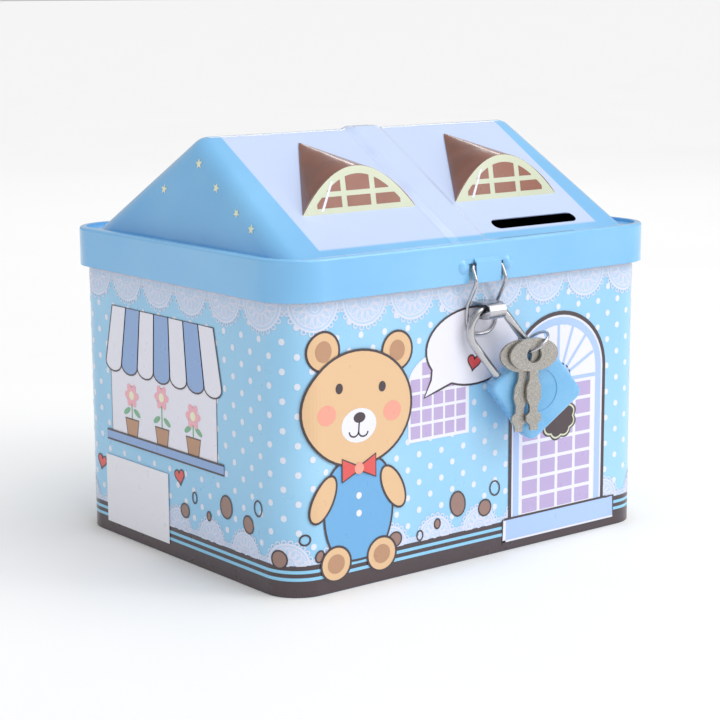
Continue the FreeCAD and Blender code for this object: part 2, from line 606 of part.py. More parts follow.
def make_lock_ward():
    """The ward plate: it crosses the keyway and lets only a key with the right cuts through."""
    plate = cube("wardPlate", "-3.6", "3.6", "-1.25", "1.25", "-{shackleClear}-15.4", "-{shackleClear}-15.1")
    slot = cube("wardSlot", "-2.5", "2.5", "-0.55", "0.55", "-{shackleClear}-16", "-{shackleClear}-14")
    tooth = cube("wardTooth", "1.5", "2.6", "-0.8", "-0.1", "-{shackleClear}-15.4", "-{shackleClear}-15.1")
    return on_lock(joined("lock_ward", cut_away("wardRing", plate, slot), tooth))


def make_lock_latch():
    """The latch: a plate with a wedge nose in the notch of the short leg."""
    nose = "-{shackleBow}+{shackleWire}"
    plate = drawn_plate("lock_latch", "XZ_Plane", [
        (f"{nose}-0.36", "-{shackleClear}-2.4"), (f"{nose}+0.2", "-{shackleClear}-1.28"), ("-0.9", "-{shackleClear}-1.28"),
        ("-0.9", "-{shackleClear}-3.52"), (f"{nose}+0.2", "-{shackleClear}-3.52"),
    ], 1.6)
    return on_lock(plate)


def make_lock_spring():
    """A short coil under the long leg, drawn pressed."""
    coil = Part.makeHelix(0.62, 1.24, 0.7)
    ring = Part.Wire(Part.Circle(Vec(0.7, 0, 0), Vec(0, 1, 0), 0.2).toShape())
    spring = Part.Wire(coil.Edges).makePipeShell([ring], True, True)
    place = Vec(size("Sizes.shackleBow"), 0, -size("Sizes.shackleClear") - size("Sizes.shackleLong") - 1.75)
    spring.translate(place)
    return on_lock(shaped("lock_spring", spring))


# ---------------------------------------------------------------- keys
def ring_centre():
    """The key ring's centre in the lock's own frame: in front of the long leg, square to it."""
    across = size("Sizes.shackleBow") + size("Sizes.ringAcross")
    return Vec(across, -size("Sizes.ringReach"), -size("Sizes.ringDown"))


def make_key_ring():
    ring = doc.addObject("Part::Torus", "key_ring")
    bind(ring, Radius1="{ringRadius}", Radius2="{ringWire}")
    ring.Placement = FreeCAD.Placement(ring_centre(), FreeCAD.Rotation())
    return on_lock(ring)


def hang_point(out):
    """Where the ring's wire passes a key whose middle is this far in front of the lock's middle."""
    centre = ring_centre()
    ahead = out - size("Sizes.ringReach")
    across = math.sqrt(size("Sizes.ringRadius") ** 2 - ahead ** 2)
    return lock_place().multVec(Vec(centre.x - across, -out, centre.z))


def make_key(name, out_word, aside_word, lean):
    """A flat key with an oval bow, a waisted stem and a notched bit; its hole hangs on the ring."""
    wide, tall = "{keyBowHalf}", "{keyBowTall}"
    oval = doc.addObject("Part::Ellipse", name + "Oval")
    bind(oval, MajorRadius=wide, MinorRadius=tall)
    bow = doc.addObject("Part::Extrusion", name + "Bow")
    bow.Base = oval
    bow.DirMode = "Custom"
    bow.Dir = Vec(0, 0, 1)
    bow.Solid = True
    bow.setExpression("LengthFwd", formula("{keyThick}"))
    tip = "(2*{keyBowTall}-{keyLength}-{keyBowTall})"
    right = [("1.3", f"-{tall}+0.8"), ("1.3", "-6.4"), ("2.1", "-8.6"), ("2.1", "-11.4"), ("1.2", "-13.7"),
             ("1.2", "-15.2"), ("2.2", "-16.1"), ("2.2", "-17.6"), ("1.2", "-18.6"), ("1.2", tip)]
    left = [(f"-({x})", z) for x, z in reversed(right[:-1])]
    left[0:0] = [("-0.9", tip)]
    stem = drawn_plate(name + "Stem", "XY_Plane", right + left, "{keyThick}")
    stem.setExpression("Placement.Base.z", formula("{keyThick}/2"))
    blank = joined(name + "Blank", bow, stem)
    key = cut_away(name, blank, rod(name + "Hole", "{keyHole}", 4, 0, 0, -1))
    yaw = FreeCAD.Rotation(Vec(0, 0, 1), -size("Sizes.lockYaw"))
    upright = yaw * FreeCAD.Rotation(Vec(0, 1, 0), lean) * FreeCAD.Rotation(Vec(1, 0, 0), 90)
    back, thick = size(f"Sizes.{out_word}"), size("Sizes.keyThick")
    hang = hang_point(back + thick / 2)
    drop = size("Sizes.keyDrop")
    middle = hang + yaw.multVec(Vec(size(f"Sizes.{aside_word}"), thick / 2, -drop))
    key.Placement = FreeCAD.Placement(middle, upright)
    return key


# ---------------------------------------------------------------- all pieces
nodes = [
    make_body_wall(),
    make_base_plate(),
    make_lock_staple(),
    make_hinge_body_leaf(),
    rivets("hinge_body_rivets", "{bodyWidth}/2-{sheetThick}", "{bodyWidth}/2+0.02+{hingeSheet}", 67.5),
    make_hinge_pin(),
    make_lid_shell(),
    make_hinge_lid_leaf(),
    rivets("hinge_lid_rivets", "{lidWidth}/2-{sheetThick}", "{lidWidth}/2+0.02+{hingeSheet}", 80),
    make_hasp_wire(),
    make_lock_shackle(),
    make_lock_case_half("lock_case_front", "-{lockDeep}/2", "-0.02", True),
    make_lock_case_half("lock_case_back", "{lockDeep}/2", "0.02", False),
    make_lock_core(),
    make_lock_latch(),
    make_lock_spring(),
    make_lock_ward(),
    make_key_ring(),
    make_key("key_front", "frontKeyOut", "frontKeyAside", 0),
    make_key("key_back", "backKeyOut", "backKeyAside", size("Sizes.backKeyLean")),
]
doc.recompute()
for thing in nodes:
    thing.Label = thing.Name

broken = [thing.Name for thing in doc.Objects if {"Invalid", "Error"} & set(thing.State)]
assert not broken, f"failed objects: {broken}"
for thing in nodes:
    shape = thing.Shape
    assert not shape.isNull() and shape.isValid(), f"{thing.Label} isn't a good shape"
    shape.exportStep(f"parts/{thing.Label}.step")
    box = shape.BoundBox
    print(f"{thing.Label:20s} solids {len(shape.Solids)}  volume {shape.Volume:10.2f}  "
          f"x {box.XMin:.1f}..{box.XMax:.1f}  y {box.YMin:.1f}..{box.YMax:.1f}  z {box.ZMin:.1f}..{box.ZMax:.1f}")
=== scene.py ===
import math

import bmesh
import bpy
from mathutils import Matrix, Vector


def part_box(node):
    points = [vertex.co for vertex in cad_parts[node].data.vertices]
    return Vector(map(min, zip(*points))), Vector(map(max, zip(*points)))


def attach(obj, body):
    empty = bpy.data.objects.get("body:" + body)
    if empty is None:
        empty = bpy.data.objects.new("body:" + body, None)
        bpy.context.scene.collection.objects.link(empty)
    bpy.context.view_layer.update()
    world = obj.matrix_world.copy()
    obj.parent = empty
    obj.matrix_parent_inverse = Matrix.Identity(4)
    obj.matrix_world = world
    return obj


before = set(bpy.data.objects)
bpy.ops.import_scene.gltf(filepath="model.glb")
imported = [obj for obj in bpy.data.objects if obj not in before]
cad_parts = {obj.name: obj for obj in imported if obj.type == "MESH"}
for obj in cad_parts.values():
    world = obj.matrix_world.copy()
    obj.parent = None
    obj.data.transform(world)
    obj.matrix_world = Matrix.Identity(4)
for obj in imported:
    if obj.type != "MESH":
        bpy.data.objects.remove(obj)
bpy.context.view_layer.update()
mm = 0.001
print("frame loaded")


def newFinish(name, colour, roughness=0.3, metallic=0.0, coat=0.0):
    finish = bpy.data.materials.new(name)
    finish.use_nodes = True
    nodes, links = finish.node_tree.nodes, finish.node_tree.links
    shader = nodes["Principled BSDF"]
    shader.inputs["Base Color"].default_value = (*colour, 1)
    shader.inputs["Roughness"].default_value = roughness
    shader.inputs["Metallic"].default_value = metallic
    shader.inputs["Coat Weight"].default_value = coat
    shader.inputs["Coat Roughness"].default_value = 0.08
    place = nodes.new("ShaderNodeTexCoord")
    return finish, nodes, links, shader, place


def addGrain(nodes, links, shader, place, scale, roughLow, roughHigh, bump, distance=0.0004):
    # uneven gloss and a faint relief from one noise
    grain = nodes.new("ShaderNodeTexNoise")
    grain.inputs["Scale"].default_value = scale
    grain.inputs["Detail"].default_value = 5
    links.new(place.outputs["Object"], grain.inputs["Vector"])
    spread = nodes.new("ShaderNodeMapRange")
    spread.inputs["From Min"].default_value = 0.3
    spread.inputs["From Max"].default_value = 0.7
    spread.inputs["To Min"].default_value = roughLow
    spread.inputs["To Max"].default_value = roughHigh
    links.new(grain.outputs["Fac"], spread.inputs["Value"])
    links.new(spread.outputs["Result"], shader.inputs["Roughness"])
    relief = nodes.new("ShaderNodeBump")
    relief.inputs["Strength"].default_value = bump
    relief.inputs["Distance"].default_value = distance
    links.new(grain.outputs["Fac"], relief.inputs["Height"])
    links.new(relief.outputs["Normal"], shader.inputs["Normal"])
    return grain, relief


def addTint(nodes, links, shader, place, low, high, scale, detail=3):
    # slow drift between two shades
    drift = nodes.new("ShaderNodeTexNoise")
    drift.inputs["Scale"].default_value = scale
    drift.inputs["Detail"].default_value = detail
    links.new(place.outputs["Object"], drift.inputs["Vector"])
    ramp = nodes.new("ShaderNodeValToRGB")
    ramp.color_ramp.elements[0].position = 0.35
    ramp.color_ramp.elements[1].position = 0.65
    ramp.color_ramp.elements[0].color = (*low, 1)
    ramp.color_ramp.elements[1].color = (*high, 1)
    links.new(drift.outputs["Fac"], ramp.inputs["Fac"])
    links.new(ramp.outputs["Color"], shader.inputs["Base Color"])
    return ramp


def printedInk(name, colour):
    # one flat ink of the print under the same clear varnish as the tin
    finish, nodes, links, shader, place = newFinish(name, colour, 0.32, 0.0, 0.35)
    addGrain(nodes, links, shader, place, 240, 0.26, 0.40, 0.05, 0.0001)
    return finish


def srgb(r, g, b):
    return tuple((c / 255) ** 2.2 for c in (r, g, b))


inks = {
    "white": srgb(234, 234, 247),
    "dot": srgb(226, 232, 246),
    "lace": srgb(222, 226, 246),
    "veil": srgb(188, 214, 244),
    "brown": srgb(70, 56, 60),
    "line": srgb(66, 54, 60),
    "sky": srgb(140, 205, 240),
    "tan": srgb(228, 188, 144),
    "tanDark": srgb(186, 140, 108),
    "blush": srgb(240, 160, 140),
    "denim": srgb(105, 170, 222),
    "pane": srgb(186, 168, 212),
    "frame": srgb(172, 200, 244),
    "pebble": srgb(150, 118, 108),
    "heart": srgb(222, 84, 82),
    "awning": srgb(140, 172, 222),
    "label": srgb(238, 238, 246),
    "leaf": srgb(120, 178, 140),
    "petal": srgb(244, 176, 190),
    "cream": srgb(208, 213, 184),
    "glass": srgb(146, 88, 68),
    "star": srgb(240, 240, 205),
}
inkFinish = {name: printedInk("ink" + name[0].upper() + name[1:], colour) for name, colour in inks.items()}


def plateInside(nodes, links, shader, place, centre, keepOut=None):
    # faces that look towards the middle of the tin show the bare sheet
    arm = nodes.new("ShaderNodeVectorMath")
    arm.operation = "SUBTRACT"
    links.new(place.outputs["Object"], arm.inputs[0])
    arm.inputs[1].default_value = centre
    flat = nodes.new("ShaderNodeVectorMath")
    flat.operation = "MULTIPLY"
    links.new(arm.outputs["Vector"], flat.inputs[0])
    flat.inputs[1].default_value = (1, 1, 1) if keepOut else (1, 1, 0)
    facing = nodes.new("ShaderNodeVectorMath")
    facing.operation = "DOT_PRODUCT"
    links.new(flat.outputs["Vector"], facing.inputs[0])
    links.new(place.outputs["Normal"], facing.inputs[1])
    inner = nodes.new("ShaderNodeMapRange")
    inner.inputs["From Min"].default_value = -0.001
    inner.inputs["From Max"].default_value = -0.002
    links.new(facing.outputs["Value"], inner.inputs["Value"])
    share = inner.outputs["Result"]
    if keepOut:  # the raised border's own inner side stays painted
        share = keepOut(share)
    painted = shader.inputs["Base Color"].links[0].from_socket
    mix = nodes.new("ShaderNodeMix")
    mix.data_type = "RGBA"
    links.new(share, mix.inputs["Factor"])
    links.new(painted, mix.inputs[6])
    mix.inputs[7].default_value = (*srgb(196, 196, 190), 1)
    links.new(mix.outputs[2], shader.inputs["Base Color"])
    metal = nodes.new("ShaderNodeMath")
    metal.operation = "MULTIPLY"
    links.new(share, metal.inputs[0])
    metal.inputs[1].default_value = 0.9
    links.new(metal.outputs["Value"], shader.inputs["Metallic"])


def skyTin():
    # the blue ground of the body print, with long soft streaks in the varnish
    finish, nodes, links, shader, place = newFinish("skyBlueTin", srgb(158, 212, 245), 0.3, 0.0, 0.4)
    addTint(nodes, links, shader, place, srgb(146, 203, 240), srgb(160, 212, 245), 22)
    addGrain(nodes, links, shader, place, 160, 0.26, 0.38, 0.06, 0.0002)
    plateInside(nodes, links, shader, place, (0, 0, 0))
    return finish


roofPrint = {
    "left": -48.0, "right": 48.5, "foot": 86.2, "fade": 0.6,  # the pale panel and its soft edge
    "slope": math.radians(31.62), "edgeY": 45.8, "edgeZ": 84.8,  # the roof slope and its lower edge
    "dormerLow": 90.5, "bandHalf": 6.7,  # the dormers' brown starts above and beside these
    "borderX": 59.4, "borderY": 46.2, "borderZ": 84.7,  # where the painted border begins
}


def lidTin():
    # glossy blue lid with the pale roof panel printed on both slopes
    finish, nodes, links, shader, place = newFinish("blueLidTin", srgb(121, 188, 237), 0.2, 0.0, 0.6)
    blue = addTint(nodes, links, shader, place, srgb(116, 184, 235), srgb(128, 193, 240), 26)
    links.remove(blue.outputs["Color"].links[0])
    split = nodes.new("ShaderNodeSeparateXYZ")
    links.new(place.outputs["Object"], split.inputs["Vector"])

    def edge(output, at, rising):
        step = nodes.new("ShaderNodeMapRange")
        step.interpolation_type = "SMOOTHSTEP"
        step.inputs["From Min"].default_value = at - roofPrint["fade"] * mm / 2
        step.inputs["From Max"].default_value = at + roofPrint["fade"] * mm / 2
        step.inputs["To Min"].default_value = 0.0 if rising else 1.0
        step.inputs["To Max"].default_value = 1.0 if rising else 0.0
        links.new(split.outputs[output], step.inputs["Value"])
        return step.outputs["Result"]

    def times(a, b):
        product = nodes.new("ShaderNodeMath")
        product.operation = "MULTIPLY"
        links.new(a, product.inputs[0])
        links.new(b, product.inputs[1])
        return product.outputs["Value"]

    panel = times(times(edge("X", roofPrint["left"] * mm, True), edge("X", roofPrint["right"] * mm, False)),
                  edge("Z", roofPrint["foot"] * mm, True))
    mix = nodes.new("ShaderNodeMix")
    mix.data_type = "RGBA"
    links.new(panel, mix.inputs["Factor"])
    links.new(blue.outputs["Color"], mix.inputs[6])
    mix.inputs[7].default_value = (*srgb(196, 213, 247), 1)

    def plus(a, b, scaleA, scaleB, shift):
        # scaleA * a + scaleB * b + shift
        first = nodes.new("ShaderNodeMath")
        first.operation = "MULTIPLY_ADD"
        links.new(a, first.inputs[0])
        first.inputs[1].default_value = scaleA
        first.inputs[2].default_value = shift
        second = nodes.new("ShaderNodeMath")
        second.operation = "MULTIPLY_ADD"
        links.new(b, second.inputs[0])
        second.inputs[1].default_value = scaleB
        links.new(first.outputs["Value"], second.inputs[2])
        return second.outputs["Value"]

    def above(output, at, soft):
        step = nodes.new("ShaderNodeMapRange")
        step.inputs["From Min"].default_value = at - soft
        step.inputs["From Max"].default_value = at + soft
        links.new(output, step.inputs["Value"])
        return step.outputs["Result"]

    # brown only where the sheet stands clear of the roof slope, beside the middle band
    slope = roofPrint["slope"]
    stand = plus(split.outputs["Y"], split.outputs["Z"], -math.sin(slope), math.cos(slope),
                 -roofPrint["edgeY"] * mm * math.sin(slope) - roofPrint["edgeZ"] * mm * math.cos(slope))
    aside = nodes.new("ShaderNodeMath")
    aside.operation = "ABSOLUTE"
    links.new(split.outputs["X"], aside.inputs[0])
    clear = above(stand, 0.00022, 0.00008)
    high = above(split.outputs["Z"], roofPrint["dormerLow"] * mm, 0.0002)
    beside = above(aside.outputs["Value"], roofPrint["bandHalf"] * mm, 0.00005)
    onDormer = times(times(clear, high), beside)
    cocoa = nodes.new("ShaderNodeValToRGB")
    cocoa.color_ramp.elements[0].color = (*srgb(104, 48, 26), 1)
    cocoa.color_ramp.elements[1].color = (*srgb(134, 70, 42), 1)
    cocoa.color_ramp.elements[0].position = 0.35
    cocoa.color_ramp.elements[1].position = 0.65
    brownDrift = nodes.new("ShaderNodeTexNoise")
    brownDrift.inputs["Scale"].default_value = 60
    links.new(place.outputs["Object"], brownDrift.inputs["Vector"])
    links.new(brownDrift.outputs["Fac"], cocoa.inputs["Fac"])
    dormerMix = nodes.new("ShaderNodeMix")
    dormerMix.data_type = "RGBA"
    links.new(onDormer, dormerMix.inputs["Factor"])
    links.new(mix.outputs[2], dormerMix.inputs[6])
    links.new(cocoa.outputs["Color"], dormerMix.inputs[7])
    links.new(dormerMix.outputs[2], shader.inputs["Base Color"])

    def besideRoof(share):
        # 1 over the lid except on the border that stands outside the roof's foot
        depth = nodes.new("ShaderNodeMath")
        depth.operation = "ABSOLUTE"
        links.new(split.outputs["Y"], depth.inputs[0])
        outside = nodes.new("ShaderNodeMath")
        outside.operation = "MAXIMUM"
        links.new(above(depth.outputs["Value"], roofPrint["borderY"] * mm, 0.0001), outside.inputs[0])
        links.new(above(aside.outputs["Value"], roofPrint["borderX"] * mm, 0.0001), outside.inputs[1])
        raised = above(split.outputs["Z"], roofPrint["borderZ"] * mm, 0.00005)
        border = times(outside.outputs["Value"], raised)
        rest = nodes.new("ShaderNodeMath")
        rest.operation = "SUBTRACT"
        rest.inputs[0].default_value = 1
        links.new(border, rest.inputs[1])
        return times(share, rest.outputs["Value"])

    plateInside(nodes, links, shader, place, (0, 0, 0.07), besideRoof)
    relief = addGrain(nodes, links, shader, place, 120, 0.16, 0.26, 0.05, 0.0002)[1]
    # long shallow dents left by the press
    dents = nodes.new("ShaderNodeTexNoise")
    dents.inputs["Scale"].default_value = 34
    dents.inputs["Detail"].default_value = 2
    links.new(place.outputs["Object"], dents.inputs["Vector"])
    sag = nodes.new("ShaderNodeBump")
    sag.inputs["Strength"].default_value = 0.45
    sag.inputs["Distance"].default_value = 0.004
    links.new(dents.outputs["Fac"], sag.inputs["Height"])
    links.new(relief.outputs["Normal"], sag.inputs["Normal"])
    links.new(sag.outputs["Normal"], shader.inputs["Normal"])
    return finish


def brightSteel(name, colour, roughness, scale=500, bump=0.08):
    # plated steel with fine drawn scratches
    finish, nodes, links, shader, place = newFinish(name, colour, roughness, 1.0)
    stretch = nodes.new("ShaderNodeMapping")
    stretch.inputs["Scale"].default_value = (1, 1, 0.15)
    links.new(place.outputs["Object"], stretch.inputs["Vector"])
    grain = addGrain(nodes, links, shader, place, scale, roughness * 0.7, roughness * 1.5, bump, 0.0001)[0]
    links.new(stretch.outputs["Vector"], grain.inputs["Vector"])
    return finish


def keyNickel():
    # sandy dull nickel, darker in the hollows of its grain
    finish, nodes, links, shader, place = newFinish("dullKeyNickel", srgb(190, 186, 180), 0.42, 0.9)
    addTint(nodes, links, shader, place, srgb(150, 146, 140), srgb(196, 192, 186), 3600, 6)
    addGrain(nodes, links, shader, place, 3800, 0.32, 0.5, 0.22, 0.00008)
    return finish


def lockEnamel():
    # thick glossy enamel with a slight orange peel
    finish, nodes, links, shader, place = newFinish("blueLockEnamel", srgb(116, 184, 232), 0.24, 0.0, 0.7)
    addTint(nodes, links, shader, place, srgb(110, 180, 230), srgb(126, 190, 236), 120)
    addGrain(nodes, links, shader, place, 700, 0.2, 0.3, 0.12, 0.0002)
    return finish


finishes = {
    "sky": skyTin(),
    "lid": lidTin(),
    "steel": brightSteel("brightHingeSteel", srgb(196, 196, 200), 0.28),
    "wire": brightSteel("brightWire", srgb(190, 190, 194), 0.2),
    "shackle": brightSteel("polishedShackle", srgb(190, 190, 193), 0.16),
    "base": brightSteel("lacqueredBase", srgb(190, 190, 186), 0.34, 90),
    "brass": brightSteel("lockBrass", srgb(190, 165, 110), 0.3),
    "key": keyNickel(),
    "lock": lockEnamel(),
}
nodeFinish = {
    "body_wall": "sky", "base_plate": "base", "lock_staple": "wire", "hinge_body_leaf": "steel",
    "hinge_body_rivets": "steel", "hinge_pin": "steel", "lid_shell": "lid", "hinge_lid_leaf": "steel",
    "hinge_lid_rivets": "steel", "hasp_wire": "wire", "lock_shackle": "shackle", "lock_case_front": "lock",
    "lock_case_back": "lock", "lock_core": "brass", "lock_latch": "brass", "lock_spring": "wire",
    "lock_ward": "brass", "key_ring": "wire", "key_front": "key", "key_back": "key",
}
for nodeName, finishName in nodeFinish.items():
    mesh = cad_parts[nodeName].data
    for index in range(max(1, len(mesh.materials))):
        if len(mesh.materials) <= index:
            mesh.materials.append(finishes[finishName])
        else:
            mesh.materials[index] = finishes[finishName]
print("finishes made")


wallLow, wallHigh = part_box("body_wall")
tin = {
    "halfX": wallHigh[0] / mm, "halfY": -wallLow[1] / mm, "corner": 9.8, "facets": 16,
    "lift": 0.035, "layer": 0.025,  # how far the first ink and each further layer stand off the sheet
}
tin["flatX"] = tin["halfX"] - tin["corner"]
tin["flatY"] = tin["halfY"] - tin["corner"]
tin["arc"] = tin["corner"] * math.pi / 2
tin["halfRound"] = 2 * tin["flatX"] + 2 * tin["arc"] + 2 * tin["flatY"]


def roundCorner(share, lift):
    # how far across and along a corner a share of its arc lies, on even facets
    at = min(max(share, 0), 1) * tin["facets"]
    first = min(int(at), tin["facets"] - 1)
    ends = [(math.sin(k * math.pi / 2 / tin["facets"]), math.cos(k * math.pi / 2 / tin["facets"]))
            for k in (first, first + 1)]
    rest = at - first
    reach = tin["corner"] + lift
    return tuple(reach * (ends[0][k] * (1 - rest) + ends[1][k] * rest) for k in range(2))


def onWall(s, z, lift):
    # s runs round the body from the middle of the front, to the right; z is the height
    sign = 1 if s >= 0 else -1
    rest = abs(s)
    if rest <= tin["flatX"]:
        x, y = rest, -tin["halfY"] - lift
    elif rest <= tin["flatX"] + tin["arc"]:
        out, back = roundCorner((rest - tin["flatX"]) / tin["arc"], lift)
        x, y = tin["flatX"] + out, -tin["flatY"] - back
    elif rest <= tin["flatX"] + tin["arc"] + 2 * tin["flatY"]:
        x, y = tin["halfX"] + lift, -tin["flatY"] + rest - tin["flatX"] - tin["arc"]
    elif rest <= tin["flatX"] + 2 * tin["arc"] + 2 * tin["flatY"]:
        out, back = roundCorner((rest - tin["flatX"] - tin["arc"] - 2 * tin["flatY"]) / tin["arc"], lift)
        x, y = tin["flatX"] + back, tin["flatY"] + out
    else:
        x = tin["flatX"] - (rest - tin["flatX"] - 2 * tin["arc"] - 2 * tin["flatY"])
        y = tin["halfY"] + lift
    return Vector((sign * x, y, z)) * mm


def sideS(y):
    # the s of a place on the left side of the body
    return -(tin["flatX"] + tin["arc"] + y + tin["flatY"])


cornerCuts = []
for start in (tin["flatX"], tin["flatX"] + tin["arc"] + 2 * tin["flatY"]):
    for step in range(tin["facets"] + 1):
        cut = start + tin["arc"] * step / tin["facets"]
        cornerCuts += [cut, -cut]


def layInk(name, shapes, ink, layer, place=onWall, body="box", cuts=cornerCuts):
    # shapes are closed outlines in millimetres on the flat sheet
    flat = bmesh.new()
    for shape in shapes:
        face = flat.faces.new([flat.verts.new((a, b, 0)) for a, b in shape])
        if face.normal.z < 0 or face.calc_area() == 0:
            face.normal_flip()
    big = [f for f in flat.faces if len(f.verts) > 4]
    if big:
        bmesh.ops.triangulate(flat, faces=big)
    low = min((v.co.x for v in flat.verts), default=0)
    high = max((v.co.x for v in flat.verts), default=0)
    for cut in cuts:
        if low < cut < high:
            bmesh.ops.bisect_plane(flat, geom=flat.verts[:] + flat.edges[:] + flat.faces[:],
                                   plane_co=(cut, 0, 0), plane_no=(1, 0, 0))
    lift = tin["lift"] + tin["layer"] * layer
    for vert in flat.verts:
        vert.co = place(vert.co.x, vert.co.y, lift)
    bmesh.ops.recalc_face_normals(flat, faces=flat.faces[:])
    mesh = bpy.data.meshes.new(name)
    flat.to_mesh(mesh)
    flat.free()
    piece = bpy.data.objects.new(name, mesh)
    bpy.context.collection.objects.link(piece)
    mesh.materials.append(inkFinish[ink])
    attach(piece, body)


# this and the next helpers draw in millimetres on the flat sheet
def oval(x, z, rx, rz, turn=0.0, sides=28):
    c, s = math.cos(turn), math.sin(turn)
    points = []
    for step in range(sides):
        a = 2 * math.pi * step / sides
        u, v = rx * math.cos(a), rz * math.sin(a)
        points.append((x + u * c - v * s, z + u * s + v * c))
    return points


def ovalRing(x, z, rx, rz, width, turn=0.0, sides=28, first=0.0, share=1.0):
    # a band round an oval, as short quads
    quads = []
    c, s = math.cos(turn), math.sin(turn)

    def at(angle, grow):
        u, v = (rx + grow) * math.cos(angle), (rz + grow) * math.sin(angle)
        return x + u * c - v * s, z + u * s + v * c

    for step in range(sides):
        a = first + 2 * math.pi * share * step / sides
        b = first + 2 * math.pi * share * (step + 1) / sides
        quads.append([at(a, -width / 2), at(a, width / 2), at(b, width / 2), at(b, -width / 2)])
    return quads


def curveThrough(points, closed=True, steps=7):
    # a smooth line through a few points
    count = len(points)
    result = []
    for i in range(count if closed else count - 1):
        if closed:
            p = [points[(i + k - 1) % count] for k in range(4)]
        else:
            p = [points[min(max(i + k - 1, 0), count - 1)] for k in range(4)]
        for step in range(steps):
            t = step / steps
            result.append(tuple(
                0.5 * (2 * p[1][k] + (p[2][k] - p[0][k]) * t
                       + (2 * p[0][k] - 5 * p[1][k] + 4 * p[2][k] - p[3][k]) * t * t
                       + (3 * p[1][k] - p[0][k] - 3 * p[2][k] + p[3][k]) * t ** 3)
                for k in range(2)))
    if not closed:
        result.append(points[-1])
    return result


def stroke(points, width, closed=True):
    # a drawn line of even width, mitred at its corners
    count = len(points)
    sides = []
    for i in range(count):
        before = Vector(points[(i - 1) % count] if closed or i > 0 else points[i])
        after = Vector(points[(i + 1) % count] if closed or i < count - 1 else points[i])
        along = after - before
        if along.length == 0:
            along = Vector((1, 0))
        along.normalize()
        normal = Vector((-along.y, along.x)) * width / 2
        sides.append((tuple(Vector(points[i]) + normal), tuple(Vector(points[i]) - normal)))
    quads = []
    for i in range(count if closed else count - 1):
        a, b = sides[i], sides[(i + 1) % count]
        quads.append([a[0], a[1], b[1], b[0]])
    return quads


def bar(x0, z0, x1, z1):
    return [(x0, z0), (x1, z0), (x1, z1), (x0, z1)]


ground = {
    "dotRadius": 0.82, "dotTall": 1.08, "dotStep": 7.6, "rowStep": 3.72, "dotLow": 13.0, "dotHigh": 72.0,
    "stripeLow": 0.05, "stripeTop": 8.3, "lines": ((6.2, 7.05), (4.3, 5.15)),
    "seam": 0.01,  # keeps the two ends of a band apart at the back
}


def makeDots():
    dots = []
    columns = round(2 * tin["halfRound"] / ground["dotStep"])
    step = 2 * tin["halfRound"] / columns
    rows = int((ground["dotHigh"] - ground["dotLow"]) / ground["rowStep"])
    for row in range(rows + 1):
        z = ground["dotLow"] + row * ground["rowStep"]
        for column in range(columns):
            s = -tin["halfRound"] + (column + 0.25 + (row % 2) * 0.5) * step
            dots.append(oval(s, z, ground["dotRadius"], ground["dotRadius"] * ground["dotTall"], 0, 10))
    layInk("print_dots", dots, "dot", 0)


def makeStripes():
    end = tin["halfRound"] - ground["seam"]
    layInk("print_base_band", [bar(-end, ground["stripeLow"], end, ground["stripeTop"])], "brown", 1)
    lines = [bar(-end, low, end, high) for low, high in ground["lines"]]
    layInk("print_base_lines", lines, "sky", 2)


lace = {
    "scallop": 15.6, "top": 75.4, "low": 72.0, "hang": 74.2, "net": 74.5,  # the lace below the ledge
    "footLow": 8.2, "footHigh": 9.8, "footNet": 0.85,  # the lace above the base band
    "veilHang": 0.46, "fanHang": 0.44, "veilStand": 0.38, "fanStand": 0.36,  # shares of one scallop
}


def laceFan(s, z, radius, up, parts):
    # one scallop of lace: rims, spokes, petals and a picot edge, each on its own layer
    first = 0.0 if up > 0 else math.pi
    for reach, width in ((1.0, 0.5), (0.86, 0.28), (0.4, 0.3)):
        parts["rims"] += ovalRing(s, z, radius * reach, radius * reach, width, 0, 24, first, 0.5)
    for petal in range(7):
        angle = first + math.pi * (petal + 0.5) / 7
        parts["petals"] += ovalRing(s + 0.63 * radius * math.cos(angle), z + 0.63 * radius * math.sin(angle),
                                    radius * 0.19, radius * 0.1, 0.3, angle, 12)
    for spoke in range(8):
        angle = first + math.pi * spoke / 7
        a = (s + 0.4 * radius * math.cos(angle), z + 0.4 * radius * math.sin(angle))
        b = (s + 0.86 * radius * math.cos(angle), z + 0.86 * radius * math.sin(angle))
        parts["spokes"] += stroke([a, b], 0.22, False)
    for picot in range(10):
        angle = first + math.pi * (picot + 1) / 11
        parts["picots"] += ovalRing(s + 1.08 * radius * math.cos(angle), z + 1.08 * radius * math.sin(angle),
                                    0.6, 0.6, 0.34, 0, 8)
    parts["petals"] += ovalRing(s, z + up * radius * 0.14, radius * 0.15, radius * 0.15, 0.3, 0, 12)


